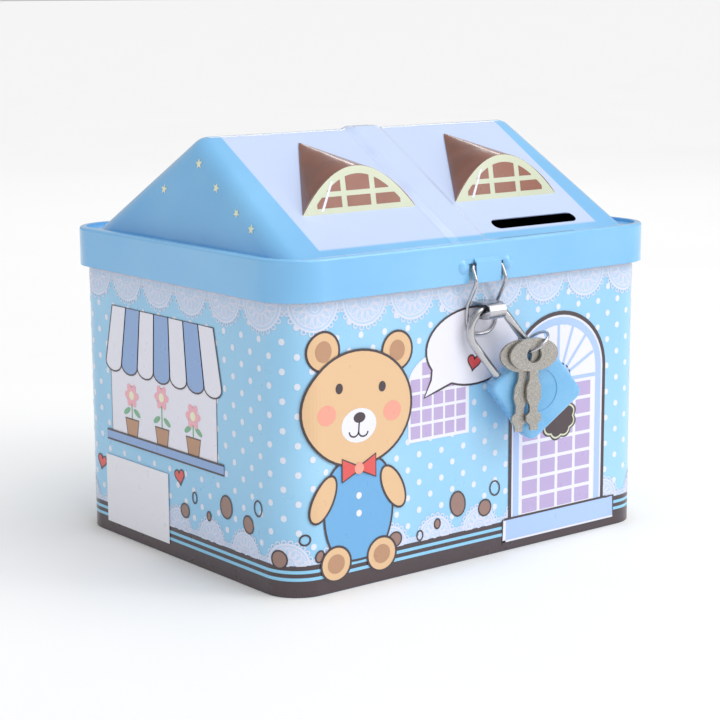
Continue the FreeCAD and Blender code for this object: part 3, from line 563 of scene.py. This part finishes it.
def makeLace():
    count = round(2 * tin["halfRound"] / lace["scallop"])
    step = 2 * tin["halfRound"] / count
    base = ground["stripeTop"]
    parts = {"rims": [], "petals": [], "spokes": [], "picots": [], "net": []}
    veil = []
    for index in range(count):
        s = -tin["halfRound"] + (index + 0.5) * step
        wide = step * lace["veilHang"]
        hanging = [(s + wide * math.cos(math.pi * (1 + k / 16)),
                    lace["hang"] + wide * math.sin(math.pi * (1 + k / 16))) for k in range(17)]
        veil.append([(s - wide, lace["top"]), *hanging, (s + wide, lace["top"])])
        low = step * lace["veilStand"]
        veil.append([(s + step / 2 + low * math.cos(math.pi * k / 16),
                      base + low * math.sin(math.pi * k / 16)) for k in range(17)])
        laceFan(s, lace["hang"], step * lace["fanHang"], -1, parts)
        laceFan(s + step / 2, base, step * lace["fanStand"], 1, parts)
        for k in range(10):
            x = s - step / 2 + (k + 0.5) * step / 10
            parts["net"] += ovalRing(x, lace["net"], 0.6, 0.6, 0.26, 0, 8)
            parts["net"] += ovalRing(x, base + lace["footNet"], 0.58, 0.58, 0.26, 0, 8)
    end = tin["halfRound"] - ground["seam"]
    edging = [bar(-end, lace["low"], end, lace["top"]), bar(-end, lace["footLow"], end, lace["footHigh"])]
    layInk("print_lace_veil", veil, "veil", 0.5)
    layInk("print_lace_edging", edging, "veil", 0.25)
    for layer, (name, shapes) in enumerate(parts.items()):
        layInk(f"print_lace_{name}", shapes, "lace", 1 + 0.25 * layer)


makeDots()
makeLace()
makeStripes()
print("ground pattern laid")


door = {
    "x": 28.7, "half": 17.6, "spring": 47.0, "top": 63.3, "foot": 8.6,
    "edge": 1.1, "inset": 2.2, "border": 2.1,
    "paneLeft": -13.1, "paneAcross": 6.65, "paneLow": 9.4, "paneUp": 4.98, "paneWide": 5.6, "paneTall": 4.0,
}


def archOutline(x, half, foot, spring, top, sides=26):
    points = [(x + half, foot)]
    for step in range(sides + 1):
        a = math.pi * step / sides
        points.append((x + half * math.cos(a), spring + (top - spring) * math.sin(a)))
    points.append((x - half, foot))
    return points


def makeDoor():
    x, half, foot, spring, top = (door[k] for k in ("x", "half", "foot", "spring", "top"))
    outline = archOutline(x, half, foot, spring, top)
    layInk("print_door_edge", stroke(outline, door["edge"], False), "line", 5)
    layInk("print_door_white", [outline], "white", 3)
    ring = archOutline(x, half - door["inset"], foot, spring, top - door["inset"])
    layInk("print_door_frame", stroke(ring, door["border"], False), "frame", 4)
    bars = [bar(x - half + 3.4, 44.2, x + half - 3.4, 45.2)]
    for spoke in range(1, 8):
        a = math.pi * spoke / 8
        reach = half - 3.2
        bars += stroke([(x + 4.4 * math.cos(a), 45.2 + 4.0 * math.sin(a)),
                        (x + reach * math.cos(a), 45.6 + (top - 2.9 - 45.6) * math.sin(a))], 0.8, False)
    bars += ovalRing(x, 45.2, 4.4, 4.0, 0.8, 0, 16, 0, 0.5)
    layInk("print_door_fan", bars, "frame", 5)
    panes = []
    for row in range(7):
        for column in range(4):
            left = x + door["paneLeft"] + column * door["paneAcross"]
            low = door["paneLow"] + row * door["paneUp"]
            panes.append(bar(left, low, left + door["paneWide"], low + door["paneTall"]))
    layInk("print_door_panes", panes, "pane", 4)
    step = [(x - half - 2.6, 2.1), (x + half + 4.6, 2.1), (x + half + 4.6, 8.7), (x + half + 1.4, 8.7),
            (x + half + 1.4, 8.8), (x - half - 1.8, 8.8), (x - half - 1.8, 8.7), (x - half - 2.6, 8.7)]
    layInk("print_door_step", [step], "frame", 4)
    layInk("print_door_step_white", [bar(x - half - 2.6, 2.1, x - half - 1.4, 8.7),
                                     bar(x - half - 2.6, 2.1, x + half + 4.6, 2.9)], "white", 5)
    layInk("print_door_step_edge", stroke(step, 0.6), "line", 6)
    # a small scalloped plate on the door
    plate = []
    for k in range(72):
        angle = math.pi * k / 36
        bulge = 0.88 + 0.12 * abs(math.sin(4.5 * angle))
        plate.append((x + 0.2 + 7.0 * bulge * math.cos(angle), 34.2 + 6.3 * bulge * math.sin(angle)))
    layInk("print_door_plate", [plate], "brown", 6)
    inside = [(x + 0.2 + (a - x - 0.2) * 0.88, 34.2 + (b - 34.2) * 0.88) for a, b in plate]
    layInk("print_door_plate_edge", stroke(inside, 0.5), "cream", 7)


lattice = {
    "x": -14.2, "half": 10.4, "low": 34.9, "spring": 50.0, "top": 57.6,
    "paneLeft": -9.6, "paneLow": 35.8, "paneAcross": 3.9, "paneUp": 4.1, "paneWide": 3.2, "paneTall": 3.3,
}


def makeLattice():
    # an arched window behind the balloon
    x, half, low, spring, top = (lattice[k] for k in ("x", "half", "low", "spring", "top"))
    layInk("print_window", [archOutline(x, half, low, spring, top)], "white", 2)
    panes = []
    for row in range(5):
        for column in range(5):
            left = x + lattice["paneLeft"] + column * lattice["paneAcross"]
            foot = lattice["paneLow"] + row * lattice["paneUp"]
            if row < 4 or 0 < column < 4:  # the top row leaves out the panes under the arch
                panes.append(bar(left, foot, left + lattice["paneWide"], foot + lattice["paneTall"]))
    layInk("print_window_panes", panes, "pane", 3)


balloon = {"x": -2.4, "z": 58.0, "wide": 16.2, "tall": 10.3, "tip": (-19.3, 46.2),
           "heart": (-2.2, 53.6, 4.6, -0.25)}  # the heart's place, size and turn


def makeBalloon():
    x, z, wide, tall = balloon["x"], balloon["z"], balloon["wide"], balloon["tall"]
    first, last = math.radians(-118), math.radians(-152 + 360)  # the oval is left open for its tail
    angles = [first + (last - first) * k / 40 for k in range(41)]
    shape = [(x + wide * math.cos(a), z + tall * math.sin(a)) for a in angles]
    shape += [(-17.0, 50.6), balloon["tip"], (-14.4, 47.6), shape[0]]
    layInk("print_balloon", [shape[:-1]], "white", 5)
    layInk("print_balloon_edge", stroke(shape, 0.55, False), "line", 6)
    layInk("print_heart", [heartShape(*balloon["heart"])], "heart", 6)
    layInk("print_heart_edge", stroke(heartShape(*balloon["heart"]), 0.4), "line", 7)


def heartShape(x, z, size, turn=0.0):
    points = []
    for step in range(28):
        a = 2 * math.pi * step / 28
        u = math.sin(a) ** 3
        v = (13 * math.cos(a) - 5 * math.cos(2 * a) - 2 * math.cos(3 * a) - math.cos(4 * a)) / 16
        points.append((x + size * 0.5 * (u * math.cos(turn) - v * math.sin(turn)),
                       z + size * 0.5 * (u * math.sin(turn) + v * math.cos(turn))))
    return points


# each pebble is its place, its two radii and its turn
pebbles = {
    "brown": [(-7.6, 16.1, 2.6, 3.4, 0.2), (2.0, 13.4, 2.2, 2.2, 0), (-14.7, 11.9, 1.0, 1.3, 0),
              (-29.0, 10.3, 2.1, 1.9, 0), (-53.4, 10.2, 1.2, 1.5, -0.4),
              (sideS(-3.3), 14.1, 2.0, 1.9, 0.3), (sideS(-14.6), 14.9, 0.9, 1.2, 0),
              (sideS(-22.6), 19.0, 2.6, 3.0, 0), (sideS(-32.4), 16.4, 2.1, 2.3, 0.5),
              (sideS(-44.2), 9.8, 2.2, 2.3, 0)],
    "hollow": [(5.6, 18.2, 1.7, 2.0, 0.3), (-20.7, 9.8, 1.0, 1.3, 0), (-57.4, 14.9, 1.4, 1.3, 0.4),
               (sideS(-8.0), 18.5, 1.0, 1.5, 0), (sideS(-36.7), 21.5, 1.6, 2.0, 0)],
}


def makePebbles():
    layInk("print_pebbles", [oval(*p, 20) for p in pebbles["brown"]], "pebble", 3)
    edges = []
    for x, z, rx, rz, turn in pebbles["brown"] + pebbles["hollow"]:
        edges += ovalRing(x, z, rx, rz, 0.45, turn, 20)
    layInk("print_pebble_edges", edges, "line", 4)


toy = {"x": -41.0, "z": 46.6, "wide": 17.2, "tall": 14.8, "nod": -0.08}


def makeToy():
    # a plain stuffed toy bear in a romper and a bow tie
    x, z, wide, tall = toy["x"], toy["z"], toy["wide"], toy["tall"]
    c, s = math.cos(toy["nod"]), math.sin(toy["nod"])

    def face(u, v):
        return x + u * c - v * s, z + u * s + v * c

    def limbs(shapes, name, ink, layer):
        layInk(f"toy_{name}", [oval(*shape) for shape in shapes], ink, layer)
        edges = []
        for shape in shapes:
            edges += ovalRing(*shape[:4], 0.6, *shape[4:])
        layInk(f"toy_{name}_edges", edges, "line", layer + 1)

    ears = [(*face(-12.0, 14.6), 4.9, 5.0), (*face(11.6, 14.2), 4.9, 5.0)]
    limbs(ears, "ears", "tan", 5)
    layInk("toy_ear_middles", [oval(*ears[0][:2], 2.5, 2.7), oval(*ears[1][:2], 2.5, 2.7)], "tanDark", 7)
    body = curveThrough([(x - 8.6, 31.0), (x - 11.0, 19.0), (x - 7.6, 9.4), (x, 7.2),
                         (x + 7.6, 9.4), (x + 11.0, 19.0), (x + 8.6, 31.0), (x, 34.0)])
    layInk("toy_romper", [body], "denim", 7)
    layInk("toy_romper_edge", stroke(body, 0.6), "line", 8)
    layInk("toy_buttons", [oval(x, 24.0, 0.9, 0.9, 0, 14), oval(x, 19.4, 0.9, 0.9, 0, 14)], "white", 9)
    feet = [(x - 7.4, 7.4, 4.7, 4.5), (x + 7.4, 7.4, 4.7, 4.5)]
    limbs(feet, "feet", "tan", 9)
    layInk("toy_soles", [oval(*feet[0][:2], 2.7, 2.5), oval(*feet[1][:2], 2.7, 2.5)], "tanDark", 11)
    limbs([(x - 11.2, 24.6, 3.1, 6.4, -0.5), (x + 11.2, 24.6, 3.1, 6.4, 0.5)], "arms", "tan", 10)
    layInk("toy_head", [oval(x, z, wide, tall, toy["nod"], 48)], "tan", 13)
    layInk("toy_head_edge", ovalRing(x, z, wide, tall, 0.65, toy["nod"], 48), "line", 14)
    layInk("toy_cheeks", [oval(*face(-10.0, -1.4), 2.9, 2.6), oval(*face(11.0, -1.2), 2.9, 2.6)], "blush", 14)
    layInk("toy_muzzle", [oval(*face(0.4, -4.4), 5.6, 4.4)], "white", 14)
    mouth = stroke([face(0.4, -3.6), face(0.4, -6.0)], 0.45, False)
    for side in (-1, 1):
        turns = [math.pi * k / 8 for k in range(9)]
        bow = [face(0.4 + side * 1.5 + 1.5 * math.cos(a), -6.0 - 1.3 * math.sin(a)) for a in turns]
        mouth += stroke(bow, 0.45, False)
    layInk("toy_face", [oval(*face(-6.6, 5.2), 1.15, 1.35), oval(*face(7.2, 5.2), 1.15, 1.35),
                        oval(*face(0.4, -2.4), 1.9, 1.35)] + mouth, "line", 15)
    tie = [(x, 31.6), (x + 5.4, 34.2), (x + 5.4, 28.2), (x, 30.6), (x - 5.4, 28.2), (x - 5.4, 34.2)]
    layInk("toy_bow_tie", [tie], "heart", 16)
    layInk("toy_bow_tie_edge", stroke(tie, 0.45), "line", 17)
    layInk("toy_bow_knot", [oval(x, 31.1, 1.5, 1.5, 0, 16)], "blush", 18)


makeLattice()
makeDoor()
makeBalloon()
makePebbles()
makeToy()
print("front picture laid")


shop = {
    "left": 32.4, "right": -19.0, "low": 29.0, "high": 52.0,  # the window opening
    "sillLeft": 35.0, "sillRight": -22.0, "sillLow": 27.2, "sillHigh": 29.8,
    "stripes": 7, "awningTop": 65.2, "awningLow": 49.4, "scallop": 2.6,
    "topFrom": 30.8, "topLong": 49.0, "lowFrom": 34.8, "lowLong": 56.4,
    "pots": ((22.0, 7.6), (7.0, 9.4), (-8.0, 6.8)),  # place and height of each flower
    "hearts": ((-1.0, 23.0, 0.2), (38.6, 19.8, -0.2)), "heartSize": 4.6,
}


def makeShop(mirror):
    # a shop window with a striped awning, laid on one side of the body
    def s(y):
        return sideS(y) if not mirror else -sideS(y)

    def spot(y, z):
        return s(y), z

    tag = "right" if mirror else "left"
    window = [spot(shop["left"], shop["low"]), spot(shop["left"], shop["high"]),
              spot(shop["right"], shop["high"]), spot(shop["right"], shop["low"])]
    layInk(f"shop_{tag}_window", [window], "white", 2)
    layInk(f"shop_{tag}_window_edge", stroke(window, 0.5), "line", 3)
    sill = [spot(shop["sillLeft"], shop["sillLow"]), spot(shop["sillLeft"], shop["sillHigh"]),
            spot(shop["sillRight"], shop["sillHigh"]), spot(shop["sillRight"], shop["sillLow"])]
    layInk(f"shop_{tag}_sill", [sill], "awning", 8)
    layInk(f"shop_{tag}_sill_edge", stroke(sill, 0.5), "line", 9)
    stripes = {"white": [], "awning": []}
    edges = []
    high, low = shop["awningTop"], shop["awningLow"]
    for k in range(shop["stripes"]):
        a, b = k / shop["stripes"], (k + 1) / shop["stripes"]
        topA, topB = (shop["topFrom"] - shop["topLong"] * share for share in (a, b))
        lowA, lowB = (shop["lowFrom"] - shop["lowLong"] * share for share in (a, b))
        mid, half = (lowA + lowB) / 2, (lowA - lowB) / 2
        shape = [spot(topA, high), spot(lowA, low)]
        for step in range(1, 8):
            angle = math.pi * step / 8
            shape.append(spot(mid + half * math.cos(angle), low - shop["scallop"] * math.sin(angle)))
        shape += [spot(lowB, low), spot(topB, high)]
        stripes["white" if k % 2 == 0 else "awning"].append(shape)
        edges += stroke(shape, 0.45)
    for ink, shapes in stripes.items():
        layInk(f"shop_{tag}_awning_{ink}", shapes, ink, 5)
    layInk(f"shop_{tag}_awning_edge", edges, "line", 6)
    # flowers in pots on the sill
    pots, stems, petals, middles, outlines = [], [], [], [], []
    for y, tall in shop["pots"]:
        pot = [spot(y + 3.4, 34.6), spot(y - 3.4, 34.6), spot(y - 2.4, 29.9), spot(y + 2.4, 29.9)]
        pots.append(pot)
        outlines += stroke(pot, 0.4)
        stems += stroke([spot(y, 34.6), spot(y, 34.0 + tall)], 0.6, False)
        for side in (-1, 1):
            leaf = oval(s(y + side * 2.5), 36.6, 1.9, 0.8, side * (0.5 if not mirror else -0.5), 12)
            stems.append(leaf)
        bloom = [2.2 + 1.3 * abs(math.cos(3 * math.pi * k / 30)) for k in range(60)]
        petals.append([(s(y) + reach * math.cos(math.pi * k / 30),
                        33.6 + tall + reach * math.sin(math.pi * k / 30)) for k, reach in enumerate(bloom)])
        middles.append(oval(s(y), 33.6 + tall, 1.25, 1.25, 0, 12))
    layInk(f"shop_{tag}_pots", pots, "tanDark", 3)
    layInk(f"shop_{tag}_pot_edges", outlines, "line", 4)
    layInk(f"shop_{tag}_stems", stems, "leaf", 3)
    layInk(f"shop_{tag}_petals", petals, "petal", 4)
    layInk(f"shop_{tag}_flower_middles", middles, "star", 5)
    loveHearts = [heartShape(s(y), z, shop["heartSize"], turn) for y, z, turn in shop["hearts"]]
    layInk(f"shop_{tag}_hearts", loveHearts, "heart", 3)
    layInk(f"shop_{tag}_heart_edges", stroke(loveHearts[0], 0.4) + stroke(loveHearts[1], 0.4), "line", 4)


makeShop(False)
makeShop(True)
layInk("blank_sticker", [bar(sideS(36.0), 3.2, sideS(4.4), 22.6)], "label", 9)  # a plain price label
print("side pictures laid")


dormer = {
    "x": 25.6, "half": 18.75, "front": 31.8, "foot": 93.2, "top": 105.15,
    "lean": 2.0 / 12.1,  # how far the face leans back for each millimetre up
    "inset": 2.0, "sideInset": 2.6, "columns": ((-14.6, -5.6), (-3.9, 3.9), (5.6, 14.6)),
    "rows": ((94.9, 97.7), (99.0, 106.0)),
}


def dormerFace(x, z, lift):
    back = dormer["lean"] * (z - dormer["foot"])
    return Vector((x, -dormer["front"] + back - lift - 0.03, z)) * mm


def archZ(share):
    return dormer["foot"] + (dormer["top"] - dormer["foot"]) * (1 - share * share)


def makeDormer(side):
    middle = side * dormer["x"]
    tag = "right" if side > 0 else "left"
    count = 32
    half = dormer["half"]
    shares = [-1 + 2 * k / count for k in range(count + 1)]
    arch = [(middle + half * s, archZ(s)) for s in shares]

    def lay(name, shapes, ink, layer):
        layInk(f"dormer_{tag}_{name}", shapes, ink, layer, dormerFace, "lid", ())

    lay("frame", [arch], "cream", 0)
    # panes between two uprights and one crossbar, all inside the arch
    panes = []

    def topAt(x):
        share = (x - middle) / (half - dormer["sideInset"])
        rise = dormer["top"] - dormer["inset"] - dormer["foot"]
        return dormer["foot"] + rise * max(0.0, 1 - share * share)

    for low, high in dormer["rows"]:
        for left, right in dormer["columns"]:
            xs = [middle + left + (right - left) * k / 10 for k in range(11)]
            upper = [(x, min(high, topAt(x))) for x in xs]
            kept = [(x, z) for x, z in upper if z > low + 0.25]
            if len(kept) > 2:
                panes.append([(kept[0][0], low), *kept, (kept[-1][0], low)])
    lay("panes", panes, "glass", 1)
    # a painted highlight: a white ink streak across the left panes stands in for the window's reflection
    paintedGlint = [[(middle - 12.6, 94.2), (middle - 11.7, 94.2), (middle - 7.9, 101.6), (middle - 8.6, 101.6)]]
    lay("paintedGlint", paintedGlint, "white", 2)


makeDormer(-1)
makeDormer(1)


band = {
    "half": 3.82, "rise": 0.76, "spread": 2.83, "crest": 112.72, "round": 5.0, "peak": 113.0,
    "slope": roofPrint["slope"], "footY": roofPrint["edgeY"], "footZ": roofPrint["edgeZ"],
    "dip": 1.25,  # the first row dips under the ledge
}


def bandPath():
    # points and outward directions over the roof, from the front foot to the back foot
    a = band["slope"]
    middle = band["peak"] - band["round"] / math.cos(a)
    run = band["footY"] / math.cos(a) - band["round"] * math.tan(a)
    path = []
    for k in range(13):
        u = run * k / 12 if k else -band["dip"]
        path.append((-band["footY"] + u * math.cos(a), band["footZ"] + u * math.sin(a),
                     -math.sin(a), math.cos(a)))
    front = list(path)
    for k in range(1, 12):
        turn = -a + 2 * a * k / 12
        path.append((band["round"] * math.sin(turn), middle + band["round"] * math.cos(turn),
                     math.sin(turn), math.cos(turn)))
    return path + [(-y, z, -ny, nz) for y, z, ny, nz in reversed(front)]


def makeBandSide(side, tag):
    # the pressed band runs softly into the roof
    sheet = bmesh.new()
    rows = []
    for y, z, ny, nz in bandPath():
        row = []
        for k in range(9):
            share = k / 8
            height = band["rise"] * (1 - share * share * (3 - 2 * share)) + 0.02
            x = side * (band["half"] + band["spread"] * share)
            row.append(sheet.verts.new(Vector((x, y + ny * height, min(z + nz * height, band["crest"]))) * mm))
        rows.append(row)
    for one, two in zip(rows, rows[1:]):
        for k in range(8):
            sheet.faces.new([one[k], one[k + 1], two[k + 1], two[k]])
    for face in sheet.faces:
        face.smooth = True
        face.normal_update()
    if sum(face.normal.z for face in sheet.faces) < 0:
        bmesh.ops.reverse_faces(sheet, faces=sheet.faces[:])
    mesh = bpy.data.meshes.new(f"roof_band_side_{tag}")
    sheet.to_mesh(mesh)
    sheet.free()
    piece = bpy.data.objects.new(f"roof_band_side_{tag}", mesh)
    bpy.context.collection.objects.link(piece)
    mesh.materials.append(finishes["lid"])
    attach(piece, "lid")


makeBandSide(-1, "left")
makeBandSide(1, "right")
print("dormers printed")


roof = {"footX": 59.0, "ridgeX": 55.0, "foot": 84.8, "peak": 113.0}


def gablePlace(sign):
    lean = (roof["footX"] - roof["ridgeX"]) / (roof["peak"] - roof["foot"])

    def place(y, z, lift):
        return Vector((sign * (roof["footX"] - (z - roof["foot"]) * lean + lift + 0.03), y, z)) * mm
    return place


def starShape(y, z, size, turn):
    return [(y + (size if k % 2 == 0 else size * 0.45) * math.cos(turn + math.pi * k / 5),
             z + (size if k % 2 == 0 else size * 0.45) * math.sin(turn + math.pi * k / 5)) for k in range(10)]


# each star is its place, its size and its turn
gableStars = [(-3.2, 105.6, 1.5, 0.2), (-12.0, 100.0, 1.4, 0.6), (-22.0, 94.4, 1.3, 0.9),
              (12.0, 98.0, 1.4, 0.4), (-29.0, 91.0, 1.4, 0.3)]
for sign, tag in ((-1, "left"), (1, "right")):
    stars = [starShape(*star) for star in gableStars]
    layInk(f"gable_stars_{tag}", stars, "star", 1, gablePlace(sign), "lid", ())
print("stars laid")


floorPlan = {"reach": 60, "drop": 0.00005}  # metres; the floor lies just under the base, never in its plane


def makeFloor():
    mesh = bpy.data.meshes.new("studio_floor")
    floor = bmesh.new()
    reach = floorPlan["reach"]
    corners = ((-1, -1), (1, -1), (1, 1), (-1, 1))
    floor.faces.new([floor.verts.new((x * reach, y * reach, -floorPlan["drop"])) for x, y in corners])
    floor.to_mesh(mesh)
    floor.free()
    piece = bpy.data.objects.new("studio_floor", mesh)
    bpy.context.collection.objects.link(piece)
    finish, nodes, links, shader, place = newFinish("paleFloor", (0.97, 0.97, 0.97), 0.6)
    addGrain(nodes, links, shader, place, 8, 0.55, 0.65, 0.0)
    mesh.materials.append(finish)


light = {"sky": 0.56, "sun": 1.65, "sunFrom": (0.12, -0.27, 0.47), "sunSpread": 70}
# power, width, height, place and the height looked at of each panel
panels = {
    "front_panel": (1.6, 0.25, 0.7, (0.55, -0.75, 0.45), 0.05),  # gives the metal a bright side
    "rear_panel": (0.3, 0.4, 0.09, (0.66, 0.72, 0.56), 0.08),  # draws the bright line along the dormers
}


def makeLights():
    sun = bpy.data.lights.new("high_sun", "SUN")
    sun.energy = light["sun"]
    sun.angle = math.radians(light["sunSpread"])
    piece = bpy.data.objects.new("high_sun", sun)
    piece.rotation_euler = Vector(light["sunFrom"]).to_track_quat("Z", "Y").to_euler()
    bpy.context.collection.objects.link(piece)
    for name, (power, wide, tall, place, lookAt) in panels.items():
        panel = bpy.data.lights.new(name, "AREA")
        panel.shape = "RECTANGLE"
        panel.size = wide
        panel.size_y = tall
        panel.energy = power
        piece = bpy.data.objects.new(name, panel)
        piece.location = place
        piece.rotation_euler = (piece.location - Vector((0, 0, lookAt))).to_track_quat("Z", "Y").to_euler()
        bpy.context.collection.objects.link(piece)
    world = bpy.data.worlds.new("softStudio")
    bpy.context.scene.world = world
    world.use_nodes = True
    world.node_tree.nodes["Background"].inputs["Color"].default_value = (1, 1, 1, 1)
    world.node_tree.nodes["Background"].inputs["Strength"].default_value = light["sky"]


eye = {"azimuth": -38.468, "elevation": 10.716, "roll": -0.307, "distance": 555.6,
       "right": -0.791, "up": 45.79, "lens": 96.45, "sensor": 36}


def makeCamera():
    az, el, roll = (math.radians(eye[k]) for k in ("azimuth", "elevation", "roll"))
    back = Vector((math.sin(az) * math.cos(el), -math.cos(az) * math.cos(el), math.sin(el)))
    right = Vector((math.cos(az), math.sin(az), 0))
    up = back.cross(right)
    sideways = right * math.cos(roll) + up * math.sin(roll)
    upward = up * math.cos(roll) - right * math.sin(roll)
    camera = bpy.data.cameras.new("studio_camera")
    camera.lens = eye["lens"]
    camera.sensor_width = eye["sensor"]
    camera.clip_start = 0.01
    piece = bpy.data.objects.new("studio_camera", camera)
    turn = [[sideways[k], upward[k], back[k]] for k in range(3)]
    stand = (back * eye["distance"] + sideways * eye["right"] + upward * eye["up"]) * mm
    piece.matrix_world = Matrix.Translation(stand) @ Matrix(turn).to_4x4()
    bpy.context.collection.objects.link(piece)
    bpy.context.scene.camera = piece
    bpy.context.scene.view_settings.view_transform = "Standard"


makeFloor()
makeLights()
makeCamera()
print("studio ready")
